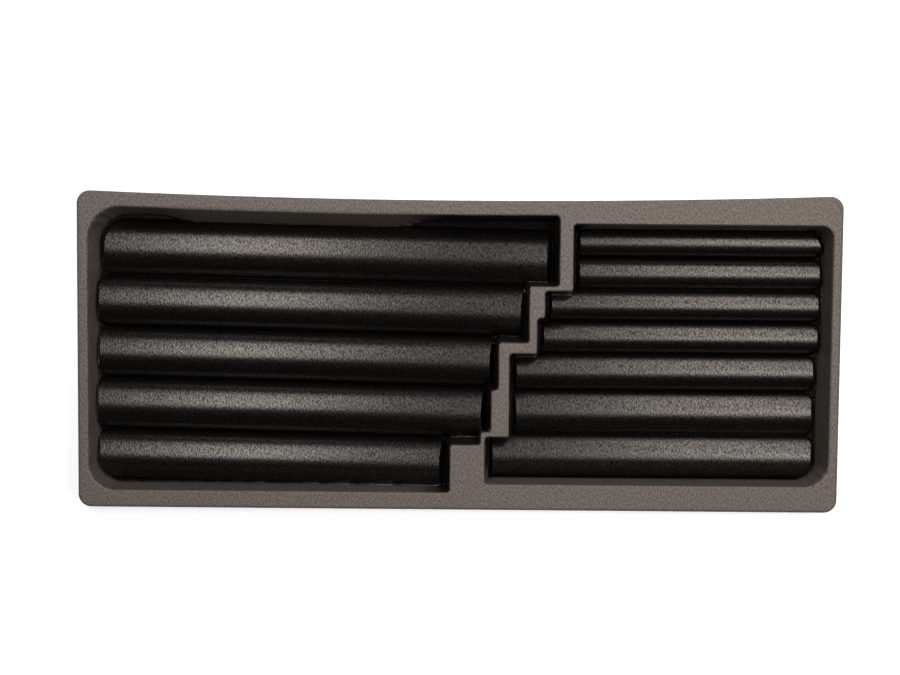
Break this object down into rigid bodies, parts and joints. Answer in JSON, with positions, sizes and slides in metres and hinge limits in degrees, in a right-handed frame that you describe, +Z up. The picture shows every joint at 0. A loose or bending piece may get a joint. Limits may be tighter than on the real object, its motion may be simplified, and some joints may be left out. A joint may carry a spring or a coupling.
{
  "type": "tool tray insert",
  "caption": "Black thermoformed plastic drawer tray with banks of large and small half-round ribs either side of a stepped divider.",
  "frame": {"origin": "under the centre of the tray, on the plane that the groove floors rest on", "axes": "+X along the tray towards the bank of small ribs, +Y towards the bowed rear edge, +Z up"},
  "size_m": [0.56, 0.233, 0.03],
  "materials": {
    "formed_sheet": "fine haircell grain"
  },
  "bodies": {
    "root": {"formed_tray": "formed_sheet"}
  },
  "joints": []
}
